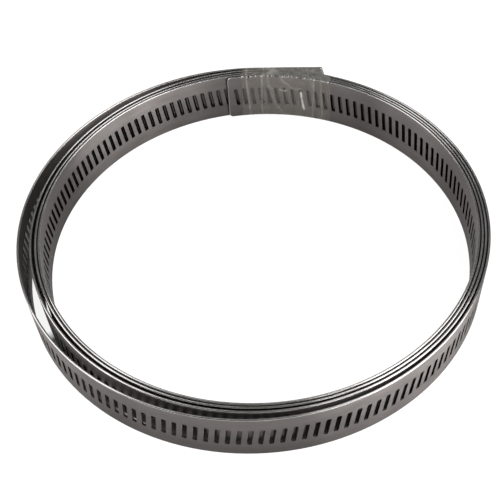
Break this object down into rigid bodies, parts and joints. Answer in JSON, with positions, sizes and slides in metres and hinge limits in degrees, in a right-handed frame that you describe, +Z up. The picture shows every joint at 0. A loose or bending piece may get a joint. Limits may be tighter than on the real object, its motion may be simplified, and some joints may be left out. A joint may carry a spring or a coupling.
{
  "type": "coil of slotted steel strap",
  "caption": "Loose coil of slotted stainless steel strap lying flat, its overlapping ends held by a wrap of clear tape.",
  "frame": {"origin": "on the coil's axis, at the level of the surface that it lies on", "axes": "+Z up along the coil's axis, +Y towards the back, where the taped ends overlap, +X to the right"},
  "size_m": [0.102, 0.1014, 0.0129],
  "materials": {
    "strap_steel": "satin rolled stainless steel with bright slit edges",
    "clear_tape": "clear adhesive film, slightly hazy and wrinkled"
  },
  "bodies": {
    "root": {"strap": "strap_steel", "tape": "clear_tape"}
  },
  "joints": []
}
